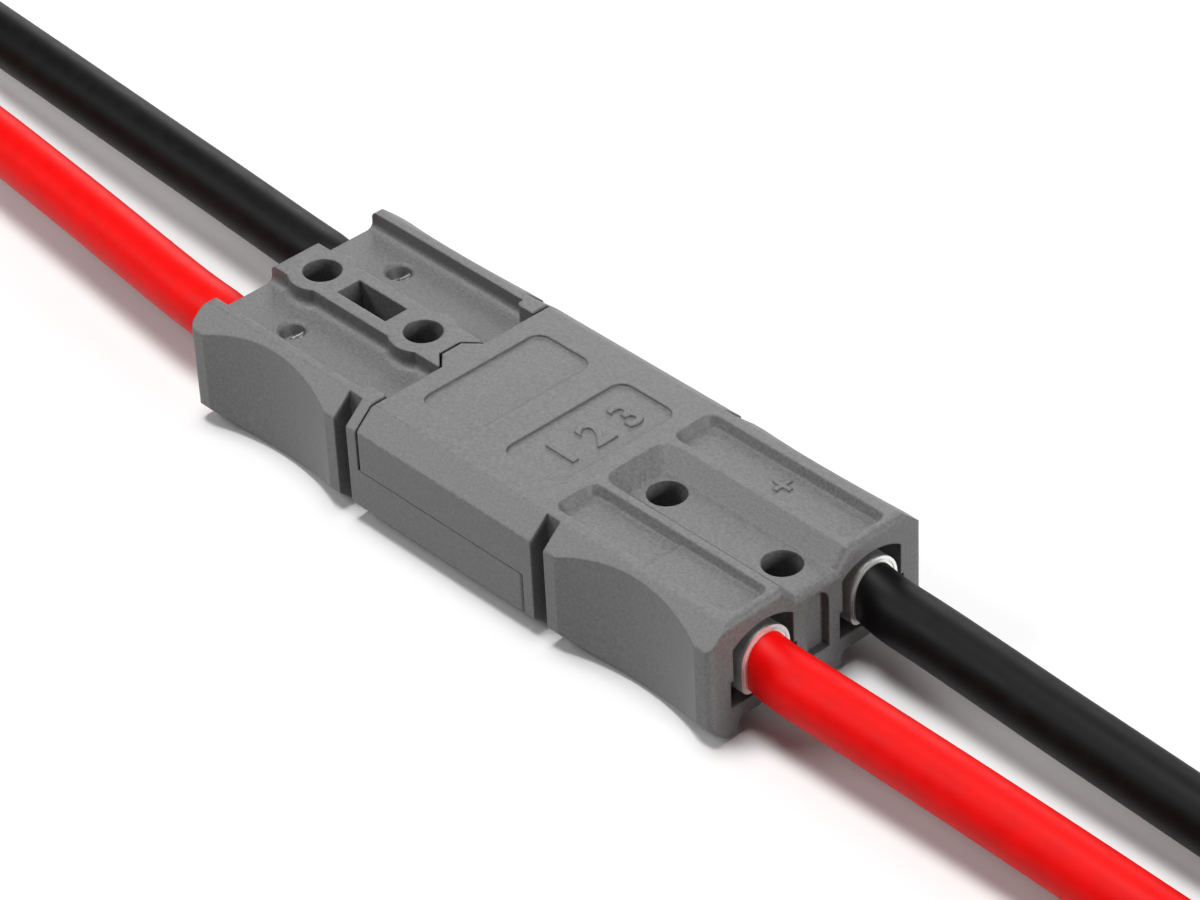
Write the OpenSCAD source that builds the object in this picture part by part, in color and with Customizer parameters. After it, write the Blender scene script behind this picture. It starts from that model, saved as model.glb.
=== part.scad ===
// Genderless two-pole power connector: two identical halves, mated, with a red and a black lead each.
// Every half is drawn once, about the mating centre: +X to its cable end, hood above, tongue below.

/* [Housing] */
// Length of the mated pair, cable end to cable end
pair_len = 75.7; // [73:0.1:80]
// Width of a housing
body_w = 28; // [27:0.1:31]
// Height of a housing
body_h = 13.6; // [13.2:0.1:16]
// Width of the long corner bevels
bevel_w = 2.4; // [1.2:0.1:2.8]
// Height of the long corner bevels
bevel_h = 2.2; // [1.2:0.1:3]
// Radius of the edges round the cable end
end_round = 0.8; // [0.4:0.1:1]
// Radius of the small moulded edges
edge_round = 0.3; // [0.1:0.05:0.4]

/* [Hood and tongue] */
// Reach of the hood past the mating centre
hood_reach = 11.85; // [11:0.05:12.5]
// Reach of the tongue past the mating centre
tongue_reach = 11.35; // [10.8:0.05:11.6]
// Gap between a hood's edge and the other housing
edge_gap = 0.2; // [0.1:0.05:0.4]
// Running clearance between a hood and the tongue in it
slide_gap = 0.15; // [0.1:0.01:0.25]
// Clearance between the halves at the mating plane
face_gap = 0.1; // [0.06:0.02:0.2]
// Thickness of the hood's side walls
hood_wall = 1.8; // [1.4:0.1:2.2]
// Bevel inside the hood's corners
inner_bevel = 0.9; // [0.5:0.1:1.2]
// Length of the tab on the hood's edge
tab_len = 1.45; // [0.8:0.05:1.6]
// Width of the tab at its root
tab_root_w = 5.2; // [4.4:0.1:5.6]
// Width of the tab at its tip
tab_tip_w = 2.5; // [2:0.1:3.2]
// Clearance between the tab and its notch
tab_gap = 0.3; // [0.2:0.05:0.4]

/* [Underside] */
// Depth of the two long channels
channel_depth = 2.05; // [1.7:0.05:2.3]
// Wall between a channel and the cavity above it
floor_wall = 1.65; // [1.3:0.05:1.9]
// Width of the side rails at the outside of the channels, to the bevel's foot
rail_w = 1; // [0.8:0.05:1.4]
// Width of the centre rib
rib_w = 5.9; // [5.4:0.1:6.4]
// Radius of the bosses round the mounting holes
boss_r = 3.6; // [3.3:0.05:4]
// Radius of the fillets along the channels
channel_fillet = 0.8; // [0.4:0.1:1]
// Length of the end blocks on the rails
block_len = 2.4; // [2:0.1:3]
// Width that the end blocks add to the rails
block_w = 0.9; // [0.5:0.1:1.4]
// Length of the blind slot in the rib
slot_len = 7.4; // [6:0.1:7.8]
// Width of the blind slot
slot_w = 3; // [2.4:0.1:3.2]
// Depth of the blind slot
slot_depth = 7.5; // [5:0.1:9]

/* [Mounting holes] */
// Diameter of the mounting holes
hole_d = 4.1; // [3.4:0.1:4.3]
// Distance between a housing's two holes
hole_pitch = 15.6; // [15:0.1:16]
// From the cable end to the nearer hole
hole_end = 4.65; // [4.5:0.05:5.2]

/* [Grips] */
// Depth of the finger scoops
scoop_depth = 1.8; // [1:0.1:1.9]
// Length of the finger scoops
scoop_len = 19; // [16:0.5:20]
// From the cable end to the middle of a scoop
scoop_end = 11.6; // [11.4:0.1:12]
// Width of the slit ahead of a scoop
slit_w = 1.87; // [1.4:0.01:2]
// Thickness of the lip between the slit and the other hood
lip_t = 1.35; // [1.2:0.05:1.6]

/* [Cable end] */
// Wall outside a contact cavity
cavity_wall = 2.925; // [2.8:0.025:3.1]
// Width of a contact cavity
cavity_w = 7.85; // [7.6:0.05:8]
// Wall between a cavity's crown and the housing's top
cavity_roof = 1.9; // [1.8:0.05:2.3]
// Rise of a cavity's crown over its straight sides
cavity_rise = 1.3; // [1:0.1:1.6]
// Width of the spring slot below the mating plane
spring_slot_w = 8.6; // [8.3:0.1:8.8]
// Width of the recess in the web
web_recess_w = 2.9; // [2:0.1:3]
// Depth of the recess in the web
web_recess_depth = 1; // [0.5:0.1:1.2]
// How far the recess's round top lies below the cavities' crowns
web_recess_drop = 1; // [0.9:0.1:1.8]
// Diameter of the windows for the spring barbs
window_d = 2.7; // [2.6:0.1:3.4]
// Extra radius where a window meets the channel
window_flare = 0.3; // [0.1:0.05:0.5]
// From the cable end to a window
window_end = 8.15; // [7.8:0.05:8.6]

/* [Top pockets] */
// Depth of the pockets over the cavities
side_pocket_depth = 1; // [0.6:0.1:1.2]
// Width of the pockets over the cavities
side_pocket_w = 5.4; // [4.8:0.1:5.6]
// Distance between the two pockets' middles
side_pocket_pitch = 15.5; // [15.2:0.1:15.8]
// Depth of the centre pocket
centre_pocket_depth = 1.8; // [1.2:0.1:2]
// Width of the centre pocket's floor
centre_pocket_w = 5; // [4.6:0.1:5.2]
// Slope of the pocket walls, run for each unit of depth
centre_slope = 0.98; // [0.6:0.02:1]
// Slope of the side pockets' walls
side_slope = 0.55; // [0.3:0.05:0.7]
// Length of the land at the cable end of the side pockets
pocket_land = 1.1; // [0.9:0.1:1.6]
// Depth of the two label fields
field_depth = 0.25; // [0.15:0.05:0.4]
// Length of the label fields along the pair
field_len = 8; // [6:0.1:8.4]
// Width of the label fields
field_w = 16.1; // [12:0.1:17]
// Distance between the label fields' middles
field_pitch = 12; // [10:0.1:12.5]
// Offset of the fields' common middle from the mating centre
field_off = 0.78; // [0:0.02:1]
// Corner radius of the label fields
field_r = 1.5; // [0.5:0.1:2]

/* [Pole marks] */
// Height of the raised pole marks in the side pockets
mark_h = 0.15; // [0.05:0.05:0.4]
// From the cable end to the middle of the plus
mark_end = 12.4; // [11:0.1:14]
// Length of the plus's arms, tip to tip
plus_len = 2.2; // [1.6:0.1:3]
// Width of the plus's arms
plus_w = 0.55; // [0.4:0.05:0.8]
// From the cable end to the pad's inner edge
pad_end = 12.6; // [10:0.1:16]

/* [Contacts] */
// Thickness of the contact strip
strip_t = 0.9; // [0.7:0.05:1]
// Width of the contact blade
blade_w = 7.3; // [6.6:0.1:7.5]
// Wall of the crimp barrel
barrel_t = 0.75; // [0.6:0.05:0.9]
// Width of the crimp barrel
barrel_w = 6.3; // [6:0.1:6.6]
// Gap between the barrel's crown and the cavity's
crown_gap = 0.75; // [0.6:0.05:0.9]
// Gap between the barrel and the leaf spring under it
barrel_gap = 0.2; // [0.1:0.05:0.4]
// Length of the crimp barrel
barrel_len = 13; // [12:0.1:14]
// Width of the groove in the barrel's rim
rim_groove_w = 0.12; // [0.08:0.01:0.2]
// Depth of the groove in the barrel's rim
rim_groove_depth = 0.15; // [0.1:0.05:0.4]
// Length of the barrel that stands out of the housing
barrel_out = 0.3; // [0.1:0.05:0.6]
// Width of the neck between barrel and blade
neck_w = 3.8; // [3:0.1:4.6]
// From the tongue's outside to the end of the blade's hook
hook_gap = 2.55; // [2.3:0.05:2.9]

/* [Springs] */
// Thickness of the leaf springs
leaf_t = 0.45; // [0.35:0.05:0.5]
// Width of the leaf springs
leaf_w = 7.2; // [6:0.1:7.4]
// Width of a spring's head in its slot
head_w = 8.2; // [7.6:0.1:8.25]
// Length of a spring's head
head_len = 3; // [2:0.1:4]
// Width of the barb
barb_w = 1.4; // [1:0.1:1.8]

/* [Leads] */
// Outside diameter of the insulation
lead_d = 6.3; // [6:0.05:6.6]
// Diameter of the stranded copper core
core_d = 4.2; // [3.8:0.05:4.4]
// Bare copper at the far end of each lead
bare_far = 8; // [5:0.5:10]

/* [Hidden] */
$fn = 64;
over = 1;                                   // how far a cutter runs past the face that it opens
half_h = body_h / 2;
half_w = body_w / 2;
rear_x = pair_len / 2;
front_x = hood_reach + edge_gap;            // where the other half's hood ends
plane_gap = face_gap / 2;
channel_z = half_h - channel_depth;         // level of the channels' floors and the tongue's outside
cavity_z = channel_z - floor_wall;          // level of the cavities' floors
roof_z = channel_z + slide_gap;             // inside of the hood's roof
hood_in = half_w - hood_wall;               // inside of the hood's side walls
tongue_out = hood_in - slide_gap;
rail_in = half_w - bevel_w - rail_w;
slit_x = front_x + lip_t;
cavity_y = half_w - cavity_wall - cavity_w / 2;
cavity_top_h = half_h - cavity_roof;        // crown and shoulders of a cavity over the mating plane
cavity_side_h = cavity_top_h - cavity_rise;
web_recess_top = cavity_top_h - web_recess_drop;
barrel_top = cavity_top_h - crown_gap;      // crown of a barrel, and its underside below the mating plane
barrel_low = cavity_z - leaf_t - barrel_gap;
slit_wall = 0.8;                            // wall behind a slit
cavity_x = slit_x + slit_w + slit_wall;     // where the trough opens into the full cavity
trough_w = blade_w + 2 * slide_gap;
step_top = 1.6;                             // headroom over a blade between the hood and the cavity
mark_root = 0.1;                            // how far the pole marks reach into the floor under them
pad_round = 0.5;
skin = 0.02;                                // thickness of the plates that hulls are drawn between
pocket_lead = 0.4;                          // how far the pockets start ahead of the slits' inner edge
pocket_round = 0.8;                         // corners of the pockets' floors
block_turn = 0.6;                           // corner radius of the end blocks, as a share of their width
lip_round = 0.2;                            // edges of the tongue at the mating plane
hole_far = rear_x - hole_end;
hole_near = hole_far - hole_pitch;
window_x = rear_x - window_end;
barrel_end = rear_x + barrel_out;
barrel_start = barrel_end - barrel_len;
hook_play = 0.1;                            // between the hook, and the nose and floor about it
nose_x = -tongue_reach + strip_t + 2 * hook_play;   // the wall that the blade's hook hangs over
nose_t = 0.8;
strip_top = -plane_gap;
strip_low = strip_top - strip_t;
hook_h = channel_z - hook_gap;
barrel_round = 1.2;                         // lower corners of the barrel
seam_w = 0.3;                               // where the rolled barrel's edges meet
neck_run = 2.5;                             // from the barrel's inner end to the top of the step
neck_lap = 1;                               // how far the neck's strip runs over the barrel
blade_lead = 2;                             // from the hood's edge to the foot of the step
step_lag = 0.3;                             // how much later the strip's underside bends at the step
leaf_start = 1.2;                           // flat part of the leaf spring at its tip
leaf_end = 1.5;                             // from the leaf's inner foot to the hood's edge
leaf_climb = 6.5;                           // length over which it rises
leaf_play = 0.3;                            // between its tip and the nose
head_back = 0.6;                            // how far its head stands back from the tail
head_round = 0.5;
barb_foot = 1.3;                            // along the spring from the window's middle: foot of the barb
barb_root = 0.9;                            // its root below the spring
barb_tip = [0.8, 0.95];                     // its tip, ahead of the window's middle
barb_out = [0.2, 0.45];                     // and the tip's height over the channel's floor
barb_bend = 0.2;
sides = 12;
press = 0.02;                               // how far crimped and moulded-on pieces bite
lead_low = 0.05;                            // under a lead where it lies
strand_in = 1.5;                            // from the barrel's inner end to the tips of the strands
strand_out = 0.1;                          // how far the crimped strands stand out of the barrel
strand_gap = 0.05;                          // from the barrel's end to where the strands are round again

// Routes of the leads, each repeated as it is for the finished look: along X from the cable end, sideways
// from the contact's middle, and up from the axis of the lead where it lies on the surface.
route_a_red = [
    [0.42, 0, 3.2], [8.15, 0.05, 3.15], [16.15, 0.05, 3.05], [24.15, 0.05, 2.9], [32.15, 0.05, 2.7],
    [40.15, 0.05, 2.45], [48.15, 0.05, 2.15], [56.15, 0.05, 1.85], [64.15, 0.05, 1.5],
    [72.15, -0.05, 1.15], [80.15, -0.25, 0.85], [88.15, -0.55, 0.55], [96.15, -0.95, 0.3],
    [104.15, -1.45, 0.15], [112.15, -2.05, 0.05], [120.15, -2.75, 0], [128.15, -3.55, 0],
    [136.15, -4.45, 0], [144.15, -5.45, 0], [150.65, -6.35, 0]
];
route_a_black = [
    [0.42, 0, 3.2], [8.15, -0.2, 3.15], [16.15, -0.55, 3.05], [24.15, -0.9, 2.9], [32.15, -1.15, 2.7],
    [40.15, -1.35, 2.45], [48.15, -1.5, 2.15], [56.15, -1.55, 1.85], [64.15, -1.55, 1.5],
    [72.15, -1.45, 1.15], [80.15, -1.25, 0.85], [88.15, -0.95, 0.55], [96.15, -0.55, 0.3],
    [104.15, -0.05, 0.15], [112.15, 0.55, 0.05], [120.15, 1.25, 0], [128.15, 2.05, 0], [136.15, 2.95, 0],
    [144.15, 3.95, 0], [150.65, 4.85, 0]
];
route_b_red = [
    [0.42, 0, 4], [8.15, 0.35, 4], [16.15, 1.25, 3.9], [24.15, 2.25, 3.8], [32.15, 3.25, 3.65],
    [40.15, 4.25, 3.45], [48.15, 5.25, 3.2], [56.15, 6.15, 2.9], [64.15, 6.95, 2.5], [72.15, 7.55, 2.05],
    [80.15, 7.95, 1.6], [88.15, 8.15, 1.15], [96.15, 8.15, 0.75], [104.15, 7.95, 0.4],
    [112.15, 7.55, 0.15], [120.15, 6.95, 0.05], [128.15, 6.25, 0], [136.15, 5.45, 0], [144.15, 4.55, 0],
    [150.15, 3.85, 0]
];
route_b_black = [
    [0.42, 0, 4], [8.15, 0.35, 4], [16.15, 0.95, 3.9], [24.15, 1.55, 3.8], [32.15, 2.15, 3.65],
    [40.15, 2.8, 3.45], [48.15, 3.5, 3.2], [56.15, 4.25, 2.9], [64.15, 5.05, 2.5], [72.15, 5.9, 2.05],
    [80.15, 6.7, 1.6], [88.15, 7.4, 1.15], [96.15, 7.95, 0.75], [104.15, 8.35, 0.4],
    [112.15, 8.6, 0.15], [120.15, 8.7, 0.05], [128.15, 8.7, 0], [136.15, 8.6, 0], [144.15, 8.4, 0],
    [150.65, 8.15, 0]
];

// ---- outlines ----

// An arc of n chords about a point, from angle a to angle b.
function arc(centre, r, a, b, n) = [
    for (i = [0:n]) let (t = a + (b - a) * i / n) centre + r * [cos(t), sin(t)]
];

// A closed outline with each corner turned on its own radius; a radius of 0 leaves it sharp.
function turned(p, radii, n = 4) = [
    for (i = [0:len(p) - 1])
        let (
            here = p[i],
            u = p[(i + len(p) - 1) % len(p)] - here,
            v = p[(i + 1) % len(p)] - here,
            un = u / norm(u),
            vn = v / norm(v),
            half = acos(un * vn) / 2,
            r = radii[i],
            first = here + un * r / tan(half),
            centre = here + (un + vn) / norm(un + vn) * r / sin(half),
            a = atan2(first[1] - centre[1], first[0] - centre[0]),
            side = sign(un[1] * vn[0] - un[0] * vn[1]),
            sweep = side * (180 - 2 * half)
        )
        each r == 0 ? [here] : arc(centre, r, a, a + sweep, n)
];

function same(n, r) = [for (i = [1:n]) r];

// A rectangle from one corner to the other.
function rectangle(x0, y0, x1, y1) = [[x0, y0], [x1, y0], [x1, y1], [x0, y1]];

// A rectangle's outline with an arch of the given height on top.
function arched(w, low, side, top, n = 12) =
    let (rise = top - side, r = (w * w / 4 + rise * rise) / (2 * rise), half = asin(w / 2 / r))
    concat([[-w / 2, low], [w / 2, low]], arc([0, top - r], r, 90 - half, 90 + half, n));

// ---- extrusions ----

// A section in Y and Z, drawn along X.
module along_x(x0, x1) translate([x0, 0, 0]) rotate([90, 0, 90]) linear_extrude(x1 - x0) children();

// A side view in X and Z, drawn along Y.
module along_y(y0, y1) translate([0, y1, 0]) rotate([90, 0, 0]) linear_extrude(y1 - y0) children();

// A plan in X and Y, drawn along Z.
module along_z(z0, z1) translate([0, 0, z0]) linear_extrude(z1 - z0) children();

module both_sides() {
    children();
    mirror([0, 1, 0]) children();
}

// ---- housing ----

// The long eight-sided section.
module section() {
    polygon(turned([
        [half_w, bevel_h - half_h], [half_w, half_h - bevel_h], [half_w - bevel_w, half_h],
        [bevel_w - half_w, half_h], [-half_w, half_h - bevel_h], [-half_w, bevel_h - half_h],
        [bevel_w - half_w, -half_h], [half_w - bevel_w, -half_h]
    ], same(8, edge_round), 2));
}

// Cable-end block and hood, before they are hollowed.
module outside() {
    intersection() {
        along_x(-hood_reach - over, rear_x + over) section();
        along_z(-half_h - over, half_h + over)
            polygon(turned(rectangle(-hood_reach, -half_w, rear_x, half_w),
                           [edge_round, end_round, end_round, edge_round]));
        along_y(-half_w - over, half_w + over)
            polygon(turned([
                [-hood_reach, plane_gap], [front_x, plane_gap], [front_x, -half_h], [rear_x, -half_h],
                [rear_x, half_h], [-hood_reach, half_h]
            ], [0, 0, edge_round, end_round, end_round, edge_round]));
    }
}

// The trapezoid in the middle of the hood's edge, or the notch for it in the other half.
module tab_plan(grow) {
    polygon([
        [-hood_reach + over, tab_root_w / 2 + grow], [-hood_reach, tab_root_w / 2 + grow],
        [-hood_reach - tab_len - grow, tab_tip_w / 2 + grow / 2],
        [-hood_reach - tab_len - grow, -tab_tip_w / 2 - grow / 2],
        [-hood_reach, -tab_root_w / 2 - grow], [-hood_reach + over, -tab_root_w / 2 - grow]
    ]);
}

module hood_inside() {
    along_x(-hood_reach - over, front_x)
        polygon([
            [-hood_in, -over], [hood_in, -over], [hood_in, roof_z - inner_bevel],
            [hood_in - inner_bevel, roof_z], [inner_bevel - hood_in, roof_z], [-hood_in, roof_z - inner_bevel]
        ]);
}

// The tray that carries the blades into the other half's hood.
module tongue() {
    along_x(-tongue_reach, front_x + over)
        polygon(turned([
            [-tongue_out, -plane_gap], [-tongue_out, inner_bevel - channel_z],
            [inner_bevel - tongue_out, -channel_z], [tongue_out - inner_bevel, -channel_z],
            [tongue_out, inner_bevel - channel_z], [tongue_out, -plane_gap]
        ], [lip_round, edge_round, edge_round, edge_round, edge_round, lip_round], 2));
}

// One contact's way through the housing: arched cavity, spring slot, trough in the tongue.
module cavity() {
    translate([0, cavity_y, 0]) {
        along_x(cavity_x, rear_x + over) {
            polygon(arched(cavity_w, -cavity_z, cavity_side_h, cavity_top_h));
            polygon(rectangle(-spring_slot_w / 2, -cavity_z, spring_slot_w / 2, 0));
        }
        along_x(nose_x + nose_t, cavity_x + over)
            polygon(rectangle(-trough_w / 2, -cavity_z, trough_w / 2, step_top));
        along_y(-trough_w / 2, trough_w / 2)
            polygon([
                [-tongue_reach - over, -hook_h - 3 * hook_play], [nose_x, -hook_h - 3 * hook_play],
                [nose_x, strip_low - hook_play], [front_x, strip_low - hook_play],
                [front_x, step_top], [-tongue_reach - over, step_top]
            ]);
        translate([window_x, 0, -channel_z - over]) cylinder(d = window_d, h = floor_wall + 2 * over);
        translate([window_x, 0, -channel_z - window_flare])
            cylinder(r1 = window_d / 2 + 2 * window_flare, r2 = window_d / 2, h = 2 * window_flare);
    }
}

// The concave foot of a wall that stands at distance w, from the wall down to the channel's floor.
function foot(w) = arc([w + channel_fillet, -channel_z - channel_fillet], channel_fillet, 180, 90, 5);

// What remains between the channels: rib and bosses.
module rib() {
    side = concat([[rib_w / 2, -half_h - over]], foot(rib_w / 2),
                  [[rib_w / 2 + channel_fillet, over - channel_z]]);
    along_x(front_x - over, rear_x + over)
        polygon(concat(side, [for (i = [len(side) - 1:-1:0]) [-side[i][0], side[i][1]]]));
    for (x = [hole_near, hole_far])
        translate([x, 0, 0])
            rotate_extrude()
                polygon(concat(
                    [[0, -half_h - over], [boss_r, -half_h - over]], foot(boss_r),
                    [[boss_r + channel_fillet, over - channel_z], [0, over - channel_z]]
                ));
}

module rail_block() {
    r = block_w * block_turn;
    along_z(-half_h - over, -channel_z + over)
        polygon(turned(rectangle(front_x - over, rail_in - block_w, front_x + block_len, rail_in + over),
                       [0, r, 0, 0]));
}

// The two channels under a housing.
module channels() {
    difference() {
        along_x(front_x - over, rear_x + over)
            polygon(turned(rectangle(-rail_in, -half_h - over, rail_in, -channel_z),
                           [0, 0, channel_fillet, channel_fillet], 5));
        rib();
        both_sides() rail_block();
    }
}

// A pocket with sloping walls and round corners, sunk from the top.
module sloped_pocket(x0, x1, y0, y1, depth, slope) {
    run = depth * slope;
    hull() {
        translate([0, 0, half_h - depth]) linear_extrude(skin)
            polygon(turned(rectangle(x0 + run, y0 + run, x1 - run, y1 - run), same(4, pocket_round), 5));
        translate([0, 0, half_h]) linear_extrude(skin)
            polygon(turned(rectangle(x0, y0, x1, y1), same(4, pocket_round + run / 2), 5));
    }
}

// The centre pocket's section, grown on all sides.
module centre_section(grow) {
    low = half_h - centre_pocket_depth - grow;
    half = centre_pocket_w / 2 + grow;
    out = half + (half_h + over - low) * centre_slope;
    polygon([[-half, low], [half, low], [out, half_h + over], [-out, half_h + over]]);
}

// Where the centre pocket leaves the cable end, its edge is turned like the edges beside it.
module centre_exit() {
    steps = 3;
    for (i = [0:steps - 1])
        hull() for (a = [90 * i / steps, 90 * (i + 1) / steps])
            translate([rear_x - end_round * (1 - sin(a)), 0, 0])
                along_x(0, skin) centre_section(end_round * (1 - cos(a)));
}

module top_pockets() {
    x0 = slit_x - pocket_lead;
    wide = side_pocket_w / 2;
    for (y = [-side_pocket_pitch / 2, side_pocket_pitch / 2])
        sloped_pocket(x0, rear_x - pocket_land, y - wide, y + wide, side_pocket_depth, side_slope);
    half = centre_pocket_w / 2 + centre_pocket_depth * centre_slope;
    sloped_pocket(x0, rear_x + 2 * over + centre_pocket_depth, -half, half,
                  centre_pocket_depth, centre_slope);
    centre_exit();
    for (x = [field_off - field_pitch / 2, field_off + field_pitch / 2])
        along_z(half_h - field_depth, half_h + over)
            polygon(turned(rectangle(x - field_len / 2, -field_w / 2, x + field_len / 2, field_w / 2),
                           same(4, field_r), 6));
}

// A plus in one side pocket, and in the other a plain step over the whole floor, up to its outer walls.
module pole_marks() {
    y = side_pocket_pitch / 2;
    x = rear_x - mark_end;
    run = (side_pocket_depth - mark_h) * side_slope - press;
    pad_half = side_pocket_w / 2 - run;
    along_z(half_h - side_pocket_depth - mark_root, half_h - side_pocket_depth + mark_h) {
        polygon(rectangle(x - plus_len / 2, y - plus_w / 2, x + plus_len / 2, y + plus_w / 2));
        polygon(rectangle(x - plus_w / 2, y - plus_len / 2, x + plus_w / 2, y + plus_len / 2));
        polygon(turned(rectangle(rear_x - pad_end, -y - pad_half, rear_x - pocket_land - run, pad_half - y),
                       [0, pad_round, pad_round, 0], 4));
    }
}

module grips() {
    r = (scoop_len * scoop_len / 4 + scoop_depth * scoop_depth) / (2 * scoop_depth);
    translate([rear_x - scoop_end, half_w - scoop_depth + r, -half_h - over])
        cylinder(r = r, h = body_h + 2 * over, $fn = 180);
    translate([slit_x, half_w - bevel_w, -half_h - over]) cube([slit_w, bevel_w + over, body_h + 2 * over]);
}

module web_recess() {
    r = web_recess_w / 2;
    along_x(rear_x - web_recess_depth, rear_x + over)
        polygon(concat([[-r, -cavity_z], [r, -cavity_z]], arc([0, web_recess_top - r], r, 0, 180, 12)));
}

module housing() {
    difference() {
        union() {
            difference() {
                union() {
                    outside();
                    along_z(roof_z, half_h) tab_plan(0);
                }
                hood_inside();
            }
            tongue();
        }
        both_sides() {
            cavity();
            grips();
        }
        channels();
        top_pockets();
        web_recess();
        for (x = [hole_near, hole_far])
            translate([x, 0, -half_h - over]) cylinder(d = hole_d, h = body_h + 2 * over);
        translate([(hole_near + hole_far - slot_len) / 2, -slot_w / 2, -half_h - over])
            cube([slot_len, slot_w, slot_depth + over]);
        mirror([1, 0, 0]) along_z(-half_h - over, -channel_z) tab_plan(tab_gap);
    }
    pole_marks();
}

// ---- contacts and springs ----

// The barrel's section: an arch with straight sides and turned lower corners.
function barrel_outline(inset) =
    let (w = barrel_w / 2 - inset, low = inset - barrel_low, crown = barrel_top - inset)
    concat(arc([0, crown - w], w, 0, 180, 16),
           arc([barrel_round - w, low + barrel_round], barrel_round, 180, 270, 4),
           arc([w - barrel_round, low + barrel_round], barrel_round, 270, 360, 4));

// A rolled barrel, a neck that steps down, and a flat blade with a hooked tip.
module contact() {
    neck_x = barrel_start - neck_run;
    blade_x = front_x + blade_lead;
    hook_x = nose_x - hook_play;
    difference() {
        along_x(barrel_start, barrel_end)
            polygon(barrel_outline(0));
        along_x(barrel_start - over, barrel_end + over)
            polygon(barrel_outline(barrel_t));
        along_x(barrel_end - rim_groove_depth, barrel_end + over)
            difference() {
                polygon(barrel_outline((barrel_t - rim_groove_w) / 2));
                polygon(barrel_outline((barrel_t + rim_groove_w) / 2));
            }
        translate([barrel_start - over, -seam_w / 2, -barrel_low - over])
            cube([barrel_len + 2 * over, seam_w, barrel_t + 2 * over]);
    }
    intersection() {
        along_y(-blade_w / 2, blade_w / 2)
            polygon(concat(
                arc([hook_x, strip_top - strip_t], strip_t, 180, 90, 6),
                [[blade_x, strip_top], [neck_x, barrel_top], [barrel_start + neck_lap, barrel_top],
                 [barrel_start + neck_lap, barrel_top - barrel_t],
                 [neck_x + step_lag, barrel_top - barrel_t], [blade_x + step_lag, strip_low],
                 [hook_x, strip_low], [hook_x, strip_top - hook_h], [hook_x - strip_t, strip_top - hook_h]]
            ));
        along_z(-half_h, half_h)
            polygon([
                [-tongue_reach - over, -blade_w / 2], [blade_x, -blade_w / 2], [neck_x, -neck_w / 2],
                [barrel_end, -neck_w / 2], [barrel_end, neck_w / 2], [neck_x, neck_w / 2],
                [blade_x, blade_w / 2], [-tongue_reach - over, blade_w / 2]
            ]);
    }
}

// The leaf's height over the cavity floor: flat, up to the blade, along under it, and down again.
function ease(t) = (1 - cos(180 * min(1, max(0, t)))) / 2;
function leaf_rise(x) = let (start = nose_x + nose_t + leaf_start, end = front_x - leaf_end)
    (cavity_z + strip_low - leaf_t)
    * min(ease((x - start) / leaf_climb), ease((end - x) / leaf_climb));

module leaf_spring() {
    tip = nose_x + nose_t + leaf_play;
    tail = window_x + head_len;
    steps = 28;
    line = [for (i = [0:steps]) let (x = tip + (front_x - tip) * i / steps) [x, leaf_rise(x) - cavity_z]];
    along_y(-leaf_w / 2, leaf_w / 2)
        polygon(concat(
            line, [[tail, -cavity_z], [tail, leaf_t - cavity_z]],
            [for (i = [steps:-1:0]) line[i] + [0, leaf_t]]
        ));
    along_z(-cavity_z, leaf_t - cavity_z)
        polygon(turned(rectangle(tail - head_len + head_back, -head_w / 2, tail, head_w / 2),
                       same(4, head_round), 3));
    along_y(-barb_w / 2, barb_w / 2)
        polygon([
            [window_x + barb_foot, leaf_t / 2 - cavity_z], [window_x + barb_root, -cavity_z],
            [window_x - barb_tip[0], barb_out[0] - channel_z],
            [window_x - barb_tip[1], barb_out[1] - channel_z],
            [window_x + barb_bend, leaf_t / 2 - cavity_z]
        ]);
}

// ---- leads ----

// A route in its place: half is 1 on the side of +X and -1 on the other, pole the same for black and red.
function laid(route, half, pole) = [
    for (p = route) [half * (rear_x + p[0]), pole * cavity_y + p[1], lead_low + lead_d / 2 + p[2]]
];

// Direction of a route at point i, level with the mean of the legs beside it.
function heading(p, i) = let (d = p[min(i + 1, len(p) - 1)] - p[max(i - 1, 0)]) d / norm(d);

// One ring of points round a route.
function ring(p, i, r) =
    let (d = heading(p, i), side = cross([0, 0, 1], d) / norm(cross([0, 0, 1], d)), up = cross(d, side))
    [for (k = [0:sides - 1]) p[i] + r * (cos(360 * k / sides) * side + sin(360 * k / sides) * up)];

// Faces of the skin that joins two rings, the first of them starting at point a, the second at point b.
function band(a, b) = [for (k = [0:sides - 1])
    let (n = (k + 1) % sides) each [[a + k, b + n, a + n], [a + k, b + k, b + n]]];

function turned_over(faces) = [for (f = faces) [for (i = [len(f) - 1:-1:0]) f[i]]];

// A solid rod along a route.
module rod(p, r) {
    last = (len(p) - 1) * sides;
    polyhedron(
        points = [for (i = [0:len(p) - 1]) each ring(p, i, r)],
        faces = concat(
            [[for (k = [0:sides - 1]) k]],
            [for (i = [0:len(p) - 2]) each band(i * sides, (i + 1) * sides)],
            [[for (k = [sides - 1:-1:0]) last + k]]
        ),
        convexity = 4
    );
}

// A tube along a route, open at both ends.
module tube(p, r, bore) {
    last = (len(p) - 1) * sides;
    inside = len(p) * sides;
    polyhedron(
        points = concat([for (i = [0:len(p) - 1]) each ring(p, i, r)],
                        [for (i = [0:len(p) - 1]) each ring(p, i, bore)]),
        faces = concat(
            [for (i = [0:len(p) - 2]) each band(i * sides, (i + 1) * sides)],
            [for (i = [0:len(p) - 2]) each turned_over(band(inside + i * sides, inside + (i + 1) * sides))],
            turned_over(band(0, inside)),
            band(last, inside + last)
        ),
        convexity = 6
    );
}

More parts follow.
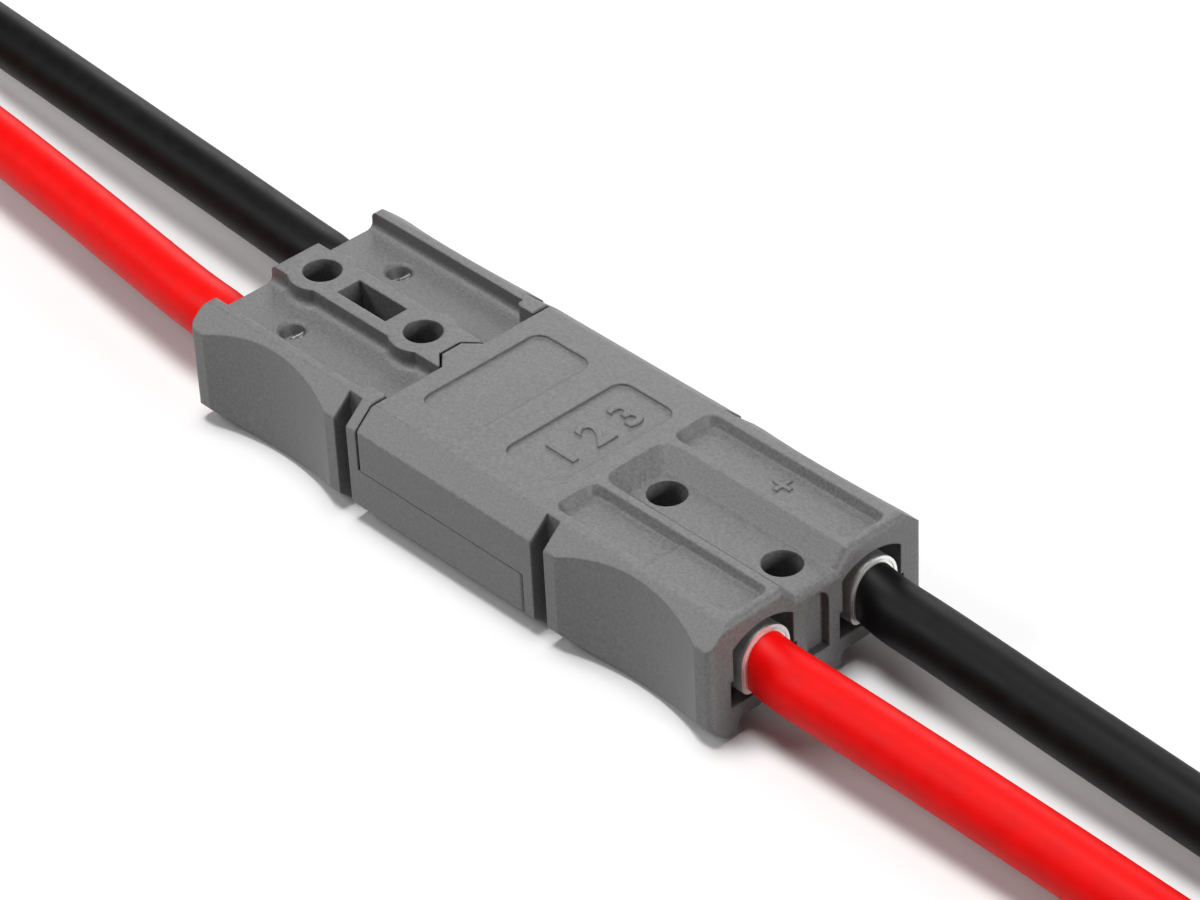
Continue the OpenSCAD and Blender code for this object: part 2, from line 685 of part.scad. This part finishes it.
// The stranded copper of one lead: crimped full in the barrel, round through the insulation, bare at the end.
module core(route) {
    side = sign(route[0][0]);
    start = [side * (barrel_end + strand_gap), route[0][1], route[0][2]];
    bare_end = route[len(route) - 1] + heading(route, len(route) - 1) * bare_far;
    rod(concat([start], route, [bare_end]), core_d / 2);
}

module crimped() {
    along_x(barrel_start + strand_in, barrel_end + strand_out) polygon(barrel_outline(barrel_t - press));
}

module insulation(route) tube(route, lead_d / 2, core_d / 2 - press);

// ---- the pair ----

module place_a() translate([0, 0, half_h]) children();
module place_b() translate([0, 0, half_h]) rotate([0, 180, 0]) children();
module at_red() translate([0, -cavity_y, 0]) children();
module at_black() translate([0, cavity_y, 0]) children();

module plastic() color([0.5, 0.5, 0.5]) children();
module silver() color([0.82, 0.82, 0.8]) children();
module stainless() color([0.68, 0.7, 0.72]) children();
module copper() color([0.8, 0.47, 0.3]) children();
module red() color([0.85, 0.02, 0.02]) children();
module black() color([0.06, 0.06, 0.06]) children();

module housing_a() plastic() place_a() housing();
module housing_b() plastic() place_b() housing();

module contact_a_red() silver() place_a() at_red() contact();
module contact_a_black() silver() place_a() at_black() contact();
module contact_b_red() silver() place_b() at_red() contact();
module contact_b_black() silver() place_b() at_black() contact();

module leaf_spring_a_red() stainless() place_a() at_red() leaf_spring();
module leaf_spring_a_black() stainless() place_a() at_black() leaf_spring();
module leaf_spring_b_red() stainless() place_b() at_red() leaf_spring();
module leaf_spring_b_black() stainless() place_b() at_black() leaf_spring();

module core_a_red() copper() {
    core(laid(route_a_red, 1, -1));
    place_a() at_red() crimped();
}
module core_a_black() copper() {
    core(laid(route_a_black, 1, 1));
    place_a() at_black() crimped();
}
module core_b_red() copper() {
    core(laid(route_b_red, -1, -1));
    place_b() at_red() crimped();
}
module core_b_black() copper() {
    core(laid(route_b_black, -1, 1));
    place_b() at_black() crimped();
}

module insulation_a_red() red() insulation(laid(route_a_red, 1, -1));
module insulation_a_black() black() insulation(laid(route_a_black, 1, 1));
module insulation_b_red() red() insulation(laid(route_b_red, -1, -1));
module insulation_b_black() black() insulation(laid(route_b_black, -1, 1));

housing_a();
housing_b();
contact_a_red();
contact_a_black();
contact_b_red();
contact_b_black();
leaf_spring_a_red();
leaf_spring_a_black();
leaf_spring_b_red();
leaf_spring_b_black();
core_a_red();
core_a_black();
core_b_red();
core_b_black();
insulation_a_red();
insulation_a_black();
insulation_b_red();
insulation_b_black();
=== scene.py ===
import math
import random

import bmesh
import bpy
from mathutils import Matrix, Vector


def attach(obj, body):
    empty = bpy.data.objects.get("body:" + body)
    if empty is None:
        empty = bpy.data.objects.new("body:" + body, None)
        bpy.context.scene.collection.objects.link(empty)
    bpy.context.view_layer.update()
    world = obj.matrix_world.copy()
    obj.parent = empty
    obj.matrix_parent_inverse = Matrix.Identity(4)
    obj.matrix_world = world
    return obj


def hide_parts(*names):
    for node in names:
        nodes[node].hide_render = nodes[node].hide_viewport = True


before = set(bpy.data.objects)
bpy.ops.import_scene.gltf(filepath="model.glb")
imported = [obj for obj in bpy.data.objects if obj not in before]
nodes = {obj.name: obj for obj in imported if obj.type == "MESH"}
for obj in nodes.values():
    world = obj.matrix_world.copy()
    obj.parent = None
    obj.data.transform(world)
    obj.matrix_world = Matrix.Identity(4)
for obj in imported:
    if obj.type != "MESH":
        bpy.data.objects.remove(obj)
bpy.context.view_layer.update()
scene = bpy.context.scene

# ---- camera ----
# Looks down along the mated pair from its cable end and right-hand side, from far off with a long lens,
# so that its long edges stay nearly parallel.

camera_data = bpy.data.cameras.new("camera")
camera_data.sensor_width = 36
camera_data.lens = 140.088
camera_data.clip_start = 0.02
camera_data.clip_end = 20
camera = bpy.data.objects.new("camera", camera_data)
right = Vector((0.681397, 0.730747, -0.041323))
down = Vector((0.413442, -0.430879, -0.802128))
forward = Vector((-0.603957, 0.529482, -0.595721))
camera.matrix_world = Matrix.Translation((0.280867, -0.239040, 0.281085)) @ Matrix(
    (right, -down, -forward)
).transposed().to_4x4()
scene.collection.objects.link(camera)
scene.camera = camera

# ---- leads ----
# Each lead is 150 mm of fine-stranded wire in a soft, smooth silicone sleeve, crimped into a contact's
# barrel. It comes straight out of the cable end, droops and lies on the table, with its far end stripped.

LEAD_DIAMETER = 0.0063
BORE_RADIUS = 0.00208
# In mm: from the mating centre to the cable ends, between a pole and the middle, and from the table to the
# axis of a lead that lies on it. Each route is along X from the cable end, sideways, and up from that axis.
CABLE_END, POLE_OFFSET, LYING_AXIS = 37.85, 7.15, 3.2
ROUTES = {
    "a_red": [
        (0.42, 0, 3.2), (8.15, 0.05, 3.15), (16.15, 0.05, 3.05), (24.15, 0.05, 2.9), (32.15, 0.05, 2.7),
        (40.15, 0.05, 2.45), (48.15, 0.05, 2.15), (56.15, 0.05, 1.85), (64.15, 0.05, 1.5),
        (72.15, -0.05, 1.15), (80.15, -0.25, 0.85), (88.15, -0.55, 0.55), (96.15, -0.95, 0.3),
        (104.15, -1.45, 0.15), (112.15, -2.05, 0.05), (120.15, -2.75, 0), (128.15, -3.55, 0),
        (136.15, -4.45, 0), (144.15, -5.45, 0), (150.65, -6.35, 0)
    ],
    "a_black": [
        (0.42, 0, 3.2), (8.15, -0.2, 3.15), (16.15, -0.55, 3.05), (24.15, -0.9, 2.9), (32.15, -1.15, 2.7),
        (40.15, -1.35, 2.45), (48.15, -1.5, 2.15), (56.15, -1.55, 1.85), (64.15, -1.55, 1.5),
        (72.15, -1.45, 1.15), (80.15, -1.25, 0.85), (88.15, -0.95, 0.55), (96.15, -0.55, 0.3),
        (104.15, -0.05, 0.15), (112.15, 0.55, 0.05), (120.15, 1.25, 0), (128.15, 2.05, 0), (136.15, 2.95, 0),
        (144.15, 3.95, 0), (150.65, 4.85, 0)
    ],
    "b_red": [
        (0.42, 0, 4), (8.15, 0.35, 4), (16.15, 1.25, 3.9), (24.15, 2.25, 3.8), (32.15, 3.25, 3.65),
        (40.15, 4.25, 3.45), (48.15, 5.25, 3.2), (56.15, 6.15, 2.9), (64.15, 6.95, 2.5), (72.15, 7.55, 2.05),
        (80.15, 7.95, 1.6), (88.15, 8.15, 1.15), (96.15, 8.15, 0.75), (104.15, 7.95, 0.4),
        (112.15, 7.55, 0.15), (120.15, 6.95, 0.05), (128.15, 6.25, 0), (136.15, 5.45, 0), (144.15, 4.55, 0),
        (150.15, 3.85, 0)
    ],
    "b_black": [
        (0.42, 0, 4), (8.15, 0.35, 4), (16.15, 0.95, 3.9), (24.15, 1.55, 3.8), (32.15, 2.15, 3.65),
        (40.15, 2.8, 3.45), (48.15, 3.5, 3.2), (56.15, 4.25, 2.9), (64.15, 5.05, 2.5),
        (72.15, 5.9, 2.05), (80.15, 6.7, 1.6), (88.15, 7.4, 1.15), (96.15, 7.95, 0.75),
        (104.15, 8.35, 0.4), (112.15, 8.6, 0.15), (120.15, 8.7, 0.05), (128.15, 8.7, 0),
        (136.15, 8.6, 0), (144.15, 8.4, 0), (150.65, 8.15, 0)
    ],
}


def laid(pole):
    """A route in its place, in metres."""
    half = 1 if pole.startswith("a") else -1
    side = -1 if pole.endswith("red") else 1
    return [
        Vector((half * (CABLE_END + x), side * POLE_OFFSET + y, LYING_AXIS + z)) / 1000
        for x, y, z in ROUTES[pole]
    ]


def smooth_line(points, steps=6):
    """The route with its corners taken off, through every point of it."""
    ends = [points[0] * 2 - points[1]] + points + [points[-1] * 2 - points[-2]]
    line = []
    for a, b, c, d in zip(ends, ends[1:], ends[2:], ends[3:]):
        for k in range(steps):
            t = k / steps
            bend = (a * 2 - b * 5 + c * 4 - d) * t**2 + (b * 3 - a - c * 3 + d) * t**3
            line.append((b * 2 + (c - a) * t + bend) / 2)
    return line + [points[-1]]


def mouth(angle, up):
    """How far the inside of a barrel's mouth is from a lead's axis, at an angle about it, in metres."""
    across, rise = math.cos(angle), math.sin(angle) * up
    half_width, spring_line, floor = 0.00246, 0.0014, 0.00136
    reach = half_width / max(abs(across), 1e-6)
    if rise < 0:
        return min(reach, floor / max(-rise, 1e-6))
    if reach * rise > spring_line:
        reach = spring_line * rise + math.sqrt(half_width**2 - (spring_line * across) ** 2)
    return reach


def sleeve(name, line, outer, inner, up, around=48):
    """A tube that is drawn out of a barrel's mouth, runs along the line, and is cut square at its far end."""
    neck, steps = 0.0045, 9  # where it is round again, and the rings up to there
    tucked = 0.00011  # how far it reaches into the mouth
    least = inner * 1.06  # so that it covers the core on the mouth's flat side
    first = (line[1] - line[0]).normalized()
    centres = [line[0] + first * (neck * k / steps - tucked) for k in range(steps)]
    centres += [p for p in line[1:] if (p - line[0]).length > neck * 1.05]
    tangents = [first] * steps + [
        (centres[min(k + 1, len(centres) - 1)] - centres[k - 1]).normalized()
        for k in range(steps, len(centres))
    ]
    mesh = bmesh.new()

    def ring(k, radius):
        along = tangents[k]
        side = Vector((0, 0, 1)).cross(along).normalized()
        above = along.cross(side)
        return [
            mesh.verts.new(centres[k] + (side * math.cos(t) + above * math.sin(t)) * radius(t))
            for t in (2 * math.pi * i / around for i in range(around))
        ]

    def swelling(k):
        s = min(1, k / steps)
        s = s * (2 - s)
        return lambda t: max(mouth(t, up), least) * (1 - s) + outer * s

    skin_rings = [ring(k, swelling(k)) for k in range(len(centres))]
    bore_rings = [ring(k, lambda t: min(inner, mouth(t, up) * 0.9)) for k in range(len(centres))]
    rings = skin_rings + bore_rings[::-1] + skin_rings[:1]
    for a, b in zip(rings, rings[1:]):
        for i in range(around):
            j = (i + 1) % around
            mesh.faces.new((a[i], a[j], b[j], b[i]))
    bmesh.ops.recalc_face_normals(mesh, faces=mesh.faces)
    data = bpy.data.meshes.new(name)
    mesh.to_mesh(data)
    mesh.free()
    for face in data.polygons:
        face.use_smooth = True
    data.set_sharp_from_angle(angle=math.radians(50))
    piece = bpy.data.objects.new(name, data)
    scene.collection.objects.link(piece)
    return piece, centres


def moulding_tooth():
    """Fine even tooth of a moulded or extruded skin: a height, and a mask that varies slowly over it."""
    group = bpy.data.node_groups.new("skin_tooth", "ShaderNodeTree")
    face = group.interface
    for name, kind, way in (
        ("Scale", "NodeSocketFloat", "INPUT"), ("Patches", "NodeSocketFloat", "INPUT"),
        ("Height", "NodeSocketFloat", "OUTPUT"), ("Mask", "NodeSocketFloat", "OUTPUT"),
    ):
        face.new_socket(name=name, in_out=way, socket_type=kind)
    new, link = group.nodes.new, group.links.new
    into, out = new("NodeGroupInput"), new("NodeGroupOutput")
    place = new("ShaderNodeTexCoord")
    tooth, patch = new("ShaderNodeTexNoise"), new("ShaderNodeTexNoise")
    tooth.inputs["Detail"].default_value = 3
    patch.inputs["Detail"].default_value = 4
    link(place.outputs["Object"], tooth.inputs["Vector"])
    link(place.outputs["Object"], patch.inputs["Vector"])
    link(into.outputs["Scale"], tooth.inputs["Scale"])
    link(into.outputs["Patches"], patch.inputs["Scale"])
    link(tooth.outputs["Fac"], out.inputs["Height"])
    link(patch.outputs["Fac"], out.inputs["Mask"])
    return group


skin_tooth = moulding_tooth()


def skin(name, dark, light, rough_low, rough_high, scale, patches, depth, edge=0.0):
    """A fine-toothed surface. Its colour and gloss wander between two values; edge rounds its corners."""
    low, high = 0.3, 0.7  # the part of the mask that they wander over
    material = bpy.data.materials.new(name)
    material.use_nodes = True
    tree = material.node_tree
    shader = tree.nodes["Principled BSDF"]
    effect = tree.nodes.new("ShaderNodeGroup")
    effect.node_tree = skin_tooth
    effect.inputs["Scale"].default_value = scale
    effect.inputs["Patches"].default_value = patches
    colour = tree.nodes.new("ShaderNodeValToRGB")
    for stop, position, shade in zip(colour.color_ramp.elements, (low, high), (dark, light)):
        stop.position = position
        stop.color = (*shade, 1)
    rough = tree.nodes.new("ShaderNodeMapRange")
    for socket, value in (
        ("From Min", low), ("From Max", high), ("To Min", rough_low), ("To Max", rough_high)
    ):
        rough.inputs[socket].default_value = value
    bump = tree.nodes.new("ShaderNodeBump")
    bump.inputs["Strength"].default_value = 1
    bump.inputs["Distance"].default_value = depth
    link = tree.links.new
    link(effect.outputs["Mask"], colour.inputs["Fac"])
    link(effect.outputs["Mask"], rough.inputs["Value"])
    link(effect.outputs["Height"], bump.inputs["Height"])
    link(colour.outputs["Color"], shader.inputs["Base Color"])
    link(rough.outputs["Result"], shader.inputs["Roughness"])
    link(bump.outputs["Normal"], shader.inputs["Normal"])
    if edge:
        turned = tree.nodes.new("ShaderNodeBevel")
        turned.samples = 4
        turned.inputs["Radius"].default_value = edge
        link(turned.outputs["Normal"], bump.inputs["Normal"])
    return material


red_silicone = skin("red_silicone", (0.53, 0.0, 0.0), (0.61, 0.0, 0.0), 0.44, 0.52, 2600, 420, 0.000003)
black_silicone = skin(
    "black_silicone", (0.002, 0.002, 0.002), (0.004, 0.004, 0.004), 0.44, 0.52, 2600, 420, 0.000003
)
for silicone in (red_silicone, black_silicone):
    silicone.node_tree.nodes["Principled BSDF"].inputs["Specular IOR Level"].default_value = 0.1

for pole in ROUTES:
    line = smooth_line(laid(pole))
    up = 1 if pole.startswith("a") else -1
    piece, centres = sleeve(f"sleeve_{pole}", line, LEAD_DIAMETER / 2, BORE_RADIUS, up)
    piece.data.materials.append(red_silicone if pole.endswith("red") else black_silicone)
    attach(piece, "half_a" if pole.startswith("a") else "half_b")
    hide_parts(f"insulation_{pole}")

# ---- housings ----
# Each half is one injection moulding in polycarbonate, dyed through in mid grey. Its mould was finely
# blasted, so its faces are matt with a fine even mottle, and every edge is slightly turned.

grey_moulding = skin(
    "grey_moulding", (0.074, 0.074, 0.074), (0.122, 0.122, 0.122), 0.44, 0.56, 5200, 3200, 0.00003,
    edge=0.0003,
)
for name in ("housing_a", "housing_b"):
    nodes[name].data.materials.clear()
    nodes[name].data.materials.append(grey_moulding)

# ---- numbers ----
# A plain number stands up from the floor of each half's second label field, moulded in one with it. Its
# strokes are thin and round-edged, and it reads across the connector.

MATING_HEIGHT = 0.0068
number_place = (0.0074, 0.0003, 0.00656)  # middle of a number from the mating centre
for half in ("a", "b"):
    digits = bpy.data.curves.new(f"number_{half}", "FONT")
    digits.body = "123"
    digits.align_x, digits.align_y = "CENTER", "CENTER"
    digits.size = 0.0054
    digits.space_character = 1.58
    digits.extrude = 0.00013
    digits.offset = 0.00005
    digits.bevel_depth = 0.00007
    digits.bevel_resolution = 3
    piece = bpy.data.objects.new(f"number_{half}", digits)
    piece.matrix_world = (
        Matrix.Translation((0, 0, MATING_HEIGHT))
        @ (Matrix.Identity(4) if half == "a" else Matrix.Rotation(math.pi, 4, "Y"))
        @ Matrix.Translation(number_place)
        @ Matrix.Rotation(math.pi / 2, 4, "Z")
    )
    scene.collection.objects.link(piece)
    digits.materials.append(grey_moulding)
    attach(piece, f"half_{half}")

# ---- contacts ----
# Copper strip, stamped and rolled to a crimp barrel, plated in silver. The plating is satin and a little
# uneven from handling.

silver_plate = skin("silver_plate", (0.84, 0.84, 0.83), (0.95, 0.95, 0.94), 0.3, 0.44, 1500, 300, 0.000006)
silver_plate.node_tree.nodes["Principled BSDF"].inputs["Metallic"].default_value = 0.92
for pole in ROUTES:
    nodes[f"contact_{pole}"].data.materials.clear()
    nodes[f"contact_{pole}"].data.materials.append(silver_plate)

# ---- leaf springs ----
# Stainless strip, stamped with a barb that snaps into its window in the cavity's floor. Its other end is
# arched, and presses the contact's blade against the blade of the other half.

stainless_strip = skin(
    "stainless_strip", (0.66, 0.67, 0.68), (0.8, 0.81, 0.82), 0.3, 0.42, 1800, 400, 0.000004
)
stainless_strip.node_tree.nodes["Principled BSDF"].inputs["Metallic"].default_value = 1
for pole in ROUTES:
    nodes[f"leaf_spring_{pole}"].data.materials.clear()
    nodes[f"leaf_spring_{pole}"].data.materials.append(stainless_strip)

# ---- copper cores ----
# Fine bare copper strands, crimped solid in the barrel by its rolled walls, and loose at the stripped far
# end, where they have a dull, slightly brown skin.

copper_strands = skin("copper_strands", (0.48, 0.17, 0.07), (0.82, 0.4, 0.22), 0.28, 0.42, 1900, 900, 0.00004)
copper_strands.node_tree.nodes["Principled BSDF"].inputs["Metallic"].default_value = 1
for pole in ROUTES:
    nodes[f"core_{pole}"].data.materials.clear()
    nodes[f"core_{pole}"].data.materials.append(copper_strands)

# ---- bare ends ----
# The last 8 mm of each lead is stripped. Its fine strands keep the wire's lay, and were cut with pliers,
# so they end a little unevenly.


def strands(name, start, along, reach):
    """Rings of thin round strands about an axis, each with a slow twist."""
    rng = random.Random(name)
    side = Vector((0, 0, 1)).cross(along).normalized()
    above = along.cross(side)
    thick, around, steps, lay = 0.0003, 6, 8, 0.5  # radius of a strand, its sides and rings, and its twist
    circles = ((0.0019, 20), (0.0013, 14), (0.0007, 7), (0, 1))
    mesh = bmesh.new()
    for radius, count in circles:
        for n in range(count):
            turn, long = 2 * math.pi * n / count, reach + rng.uniform(0.0001, 0.0005)
            rings = []
            for k in range(steps + 1):
                a = turn + lay * k / steps
                out = side * math.cos(a) + above * math.sin(a)
                centre = start + along * (long * k / steps) + out * radius
                rings.append([
                    mesh.verts.new(centre + (side * math.cos(t) + above * math.sin(t)) * thick)
                    for t in (2 * math.pi * i / around for i in range(around))
                ])
            for a, b in zip(rings, rings[1:]):
                for i in range(around):
                    mesh.faces.new((a[i], a[(i + 1) % around], b[(i + 1) % around], b[i]))
            mesh.faces.new(rings[0])
            mesh.faces.new(rings[-1])
    bmesh.ops.recalc_face_normals(mesh, faces=mesh.faces)
    data = bpy.data.meshes.new(name)
    mesh.to_mesh(data)
    mesh.free()
    for face in data.polygons:
        face.use_smooth = True
    data.set_sharp_from_angle(angle=math.radians(65))
    data.materials.append(copper_strands)
    piece = bpy.data.objects.new(name, data)
    scene.collection.objects.link(piece)
    return piece


bare, hidden = 0.008, 0.001
for pole in ROUTES:
    end = laid(pole)[-1]
    along = (end - laid(pole)[-2]).normalized()
    piece = strands(f"strands_{pole}", end - along * hidden, along, bare + hidden)
    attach(piece, "half_a" if pole.startswith("a") else "half_b")

# ---- table and light ----
# A plain pale table under the part. One soft box hangs overhead, and lower ones stand in front, past the
# cable end and behind.

table = bpy.data.meshes.new("table")
table.from_pydata([(-3, -3, 0), (3, -3, 0), (3, 3, 0), (-3, 3, 0)], [], [(0, 1, 2, 3)])
table_top = bpy.data.objects.new("table", table)
scene.collection.objects.link(table_top)
white = bpy.data.materials.new("white_table")
white.use_nodes = True
white.node_tree.nodes["Principled BSDF"].inputs["Base Color"].default_value = (0.62, 0.62, 0.62, 1)
white.node_tree.nodes["Principled BSDF"].inputs["Roughness"].default_value = 0.9
table.materials.append(white)


def soft_box(name, place, size, power):
    data = bpy.data.lights.new(name, "AREA")
    data.shape, data.size, data.energy = "SQUARE", size, power
    box = bpy.data.objects.new(name, data)
    box.location = place
    box.rotation_mode = "QUATERNION"
    box.rotation_quaternion = (-Vector(place)).to_track_quat("-Z", "Y")
    scene.collection.objects.link(box)


soft_box("key", (-0.06, -0.04, 0.82), 0.3, 8)
soft_box("front", (-0.5, -0.42, 0.52), 0.3, 3.2)
soft_box("end", (0.75, 0.1, 0.2), 0.3, 4.5)
soft_box("behind", (-0.5, 0.62, 0.3), 0.4, 2.5)
world = bpy.data.worlds.new("studio")
world.use_nodes = True
world.node_tree.nodes["Background"].inputs["Color"].default_value = (1, 1, 1, 1)
world.node_tree.nodes["Background"].inputs["Strength"].default_value = 0.1
scene.world = world
scene.view_settings.view_transform = "Standard"
